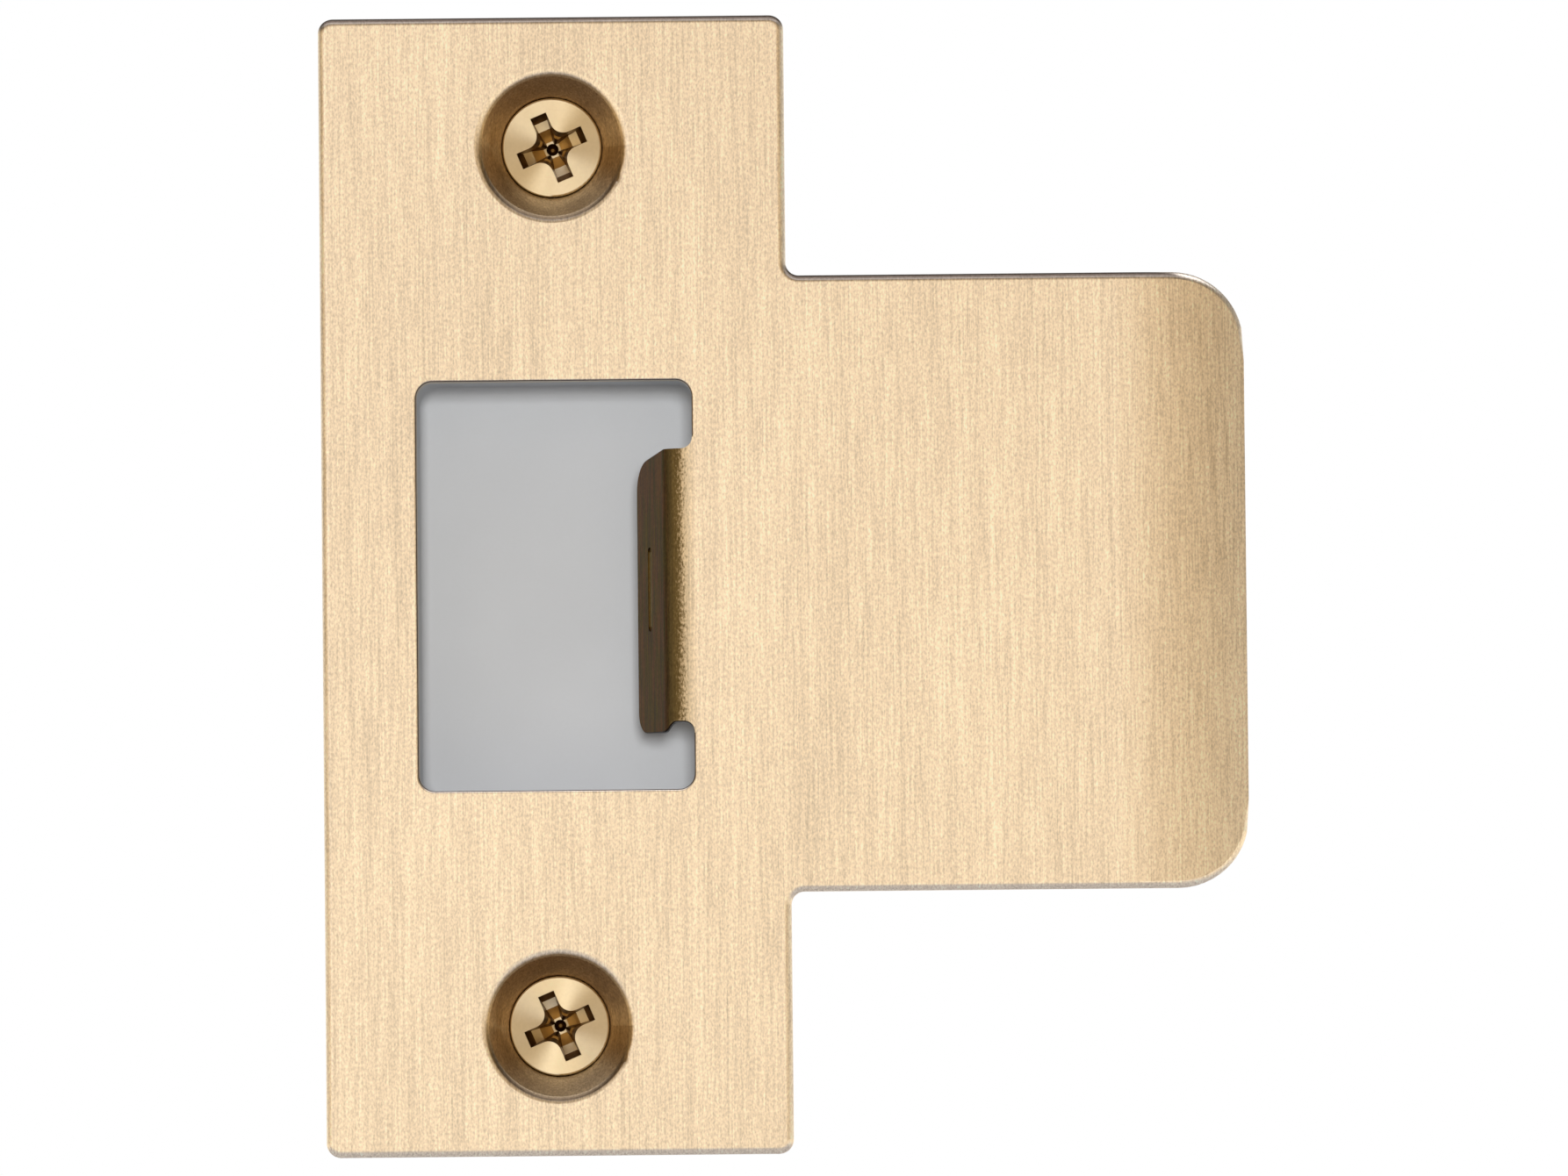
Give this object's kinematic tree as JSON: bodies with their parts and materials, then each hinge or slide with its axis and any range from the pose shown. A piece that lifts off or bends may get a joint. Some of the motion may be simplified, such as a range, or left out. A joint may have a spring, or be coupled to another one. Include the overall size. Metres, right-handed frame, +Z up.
{
  "type": "door strike plate",
  "caption": "T-shaped door strike plate with a long curved lip, a latch opening with a bent tang, a box behind it and countersunk screws.",
  "frame": {"origin": "midway between the two screws, on the back of the dust box flange, which seats on the jamb", "axes": "+Y into the jamb, +X out along the lip, +Z up the jamb"},
  "size_m": [0.0567, 0.0268, 0.0698],
  "materials": {
    "satin_brass": "brushed along the jamb, satin, clear coated",
    "grey_plastic": "moulded, fine matte grain",
    "polished_brass": "polished"
  },
  "bodies": {
    "strike": {"strike_plate": "satin_brass", "dust_box": "grey_plastic"},
    "upper_screw": {"upper_screw": "polished_brass"},
    "lower_screw": {"lower_screw": "polished_brass"}
  },
  "joints": [
    {"name": "upper_screw_out", "type": "slide", "parent": "strike", "child": "upper_screw", "axis": [0, -1, 0], "range_m": [0, 0.028]},
    {"name": "lower_screw_out", "type": "slide", "parent": "strike", "child": "lower_screw", "axis": [0, -1, 0], "range_m": [0, 0.028]}
  ]
}
